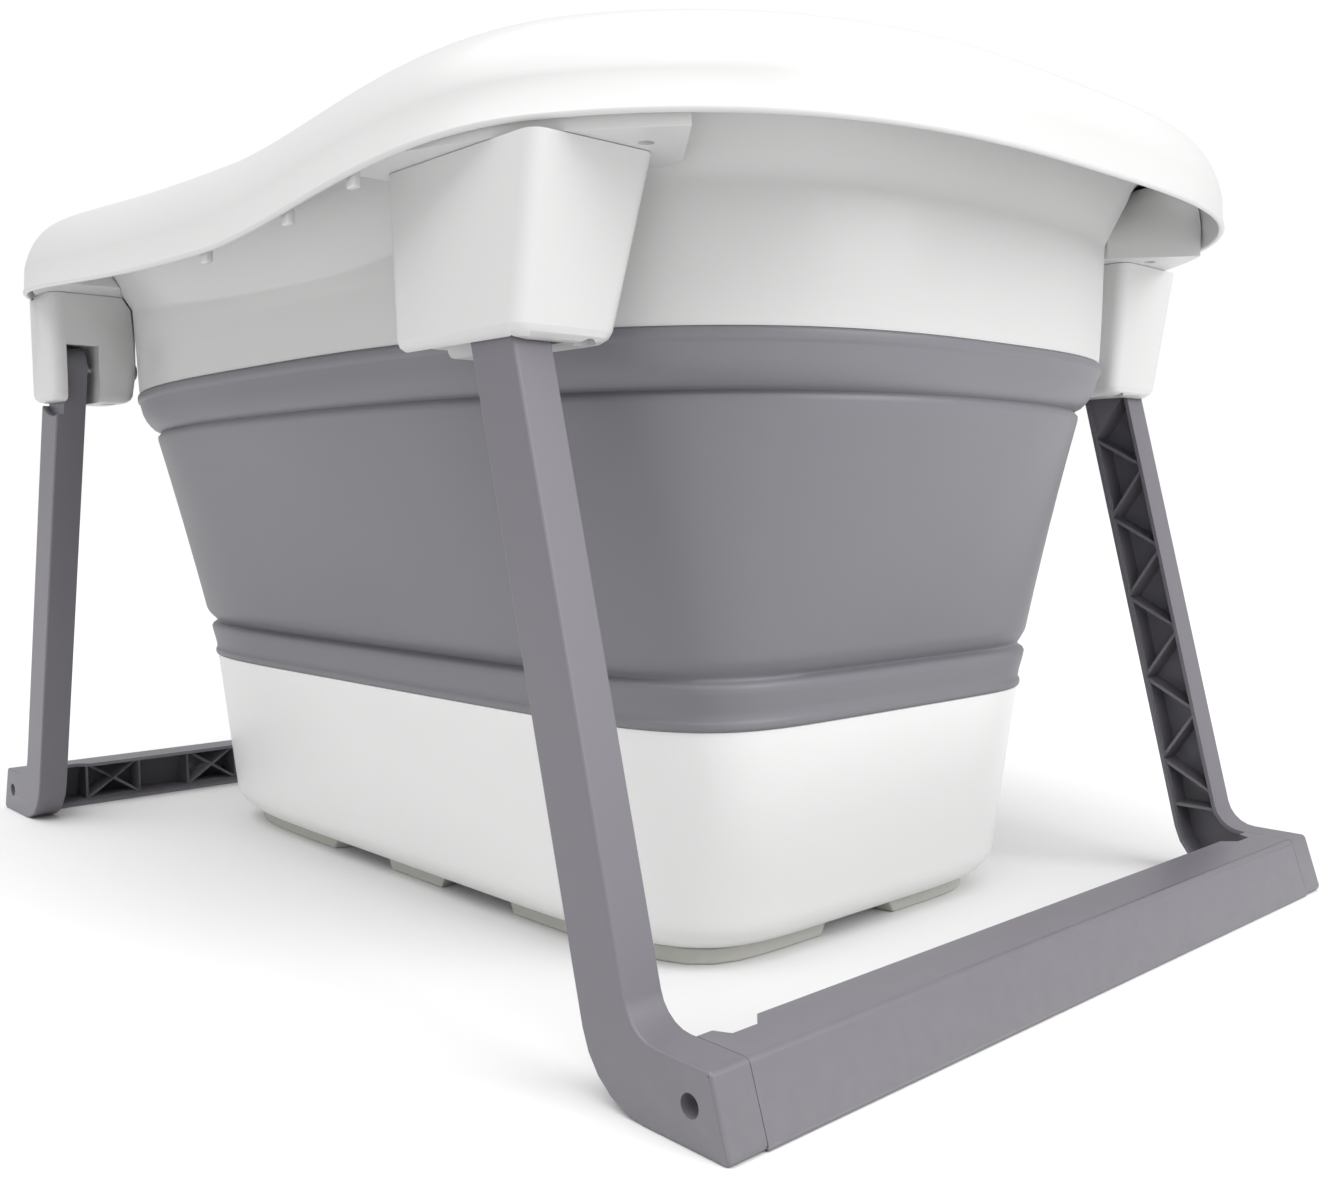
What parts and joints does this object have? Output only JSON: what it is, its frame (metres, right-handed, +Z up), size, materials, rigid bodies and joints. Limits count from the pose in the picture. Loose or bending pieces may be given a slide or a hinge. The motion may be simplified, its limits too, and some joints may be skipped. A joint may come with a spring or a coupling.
{
  "type": "collapsible baby bathtub",
  "caption": "Collapsible baby bathtub: rigid rim shell, soft folding wall, rigid base tray and two fold-out ribbed leg frames.",
  "frame": {"origin": "on the floor, under the centre of the tub", "axes": "+X towards the head end with the long housings, +Y towards the left side, +Z up"},
  "size_m": [0.82, 0.6002, 0.4363],
  "materials": {
    "white_shell": "smooth semi-gloss white polypropylene",
    "white_base": "smooth satin white polypropylene",
    "soft_grey": "matt grey thermoplastic elastomer",
    "leg_grey": "fine satin grey plastic",
    "pad_grey": "matt pale grey non-slip rubber",
    "plug_grey": "matt grey rubber",
    "steel": "plain steel"
  },
  "bodies": {
    "shell": {"rim_shell": "white_shell", "soft_wall": "soft_grey", "head_left_housing": "white_shell", "head_right_housing": "white_shell", "foot_left_housing": "white_shell", "foot_right_housing": "white_shell", "head_left_pivot_pin": "steel", "head_right_pivot_pin": "steel", "foot_left_pivot_pin": "steel", "foot_right_pivot_pin": "steel", "head_left_housing_screw_1": "steel", "head_left_housing_screw_2": "steel", "head_right_housing_screw_1": "steel", "head_right_housing_screw_2": "steel", "foot_left_housing_screw_1": "steel", "foot_right_housing_screw_1": "steel"},
    "base": {"base_basin": "white_base", "pad_left_side": "pad_grey", "pad_right_side": "pad_grey", "pad_head_left": "pad_grey", "pad_head_right": "pad_grey", "pad_foot_left": "pad_grey", "pad_foot_right": "pad_grey"},
    "plug": {"drain_plug": "plug_grey"},
    "head_legs": {"head_crossbar": "leg_grey", "head_left_leg": "leg_grey", "head_right_leg": "leg_grey", "head_left_crossbar_screw": "steel", "head_right_crossbar_screw": "steel"},
    "foot_legs": {"foot_crossbar": "leg_grey", "foot_left_leg": "leg_grey", "foot_right_leg": "leg_grey", "foot_left_crossbar_screw": "steel", "foot_right_crossbar_screw": "steel"}
  },
  "joints": [
    {"name": "tub_collapse", "type": "slide", "parent": "shell", "child": "base", "axis": [0, 0, 1], "range_m": [0, 0.29], "deforming": ["soft_wall"]},
    {"name": "head_legs_fold", "type": "hinge", "parent": "shell", "child": "head_legs", "pos_m": [0.2618, 0, 0.335], "axis": [0, 1, 0], "range_deg": [0, 69.1]},
    {"name": "foot_legs_fold", "type": "hinge", "parent": "shell", "child": "foot_legs", "pos_m": [-0.2618, 0, 0.335], "axis": [0, -1, 0], "range_deg": [0, 101.1]},
    {"name": "drain_plug_pull", "type": "slide", "parent": "base", "child": "plug", "axis": [0, 0, 1], "range_m": [0, 0.03]}
  ],
  "couplings": [
    {"joint": "head_legs_fold", "follows": "tub_collapse", "rad_per_m": 4.1527},
    {"joint": "foot_legs_fold", "follows": "tub_collapse", "rad_per_m": 6.0785}
  ]
}
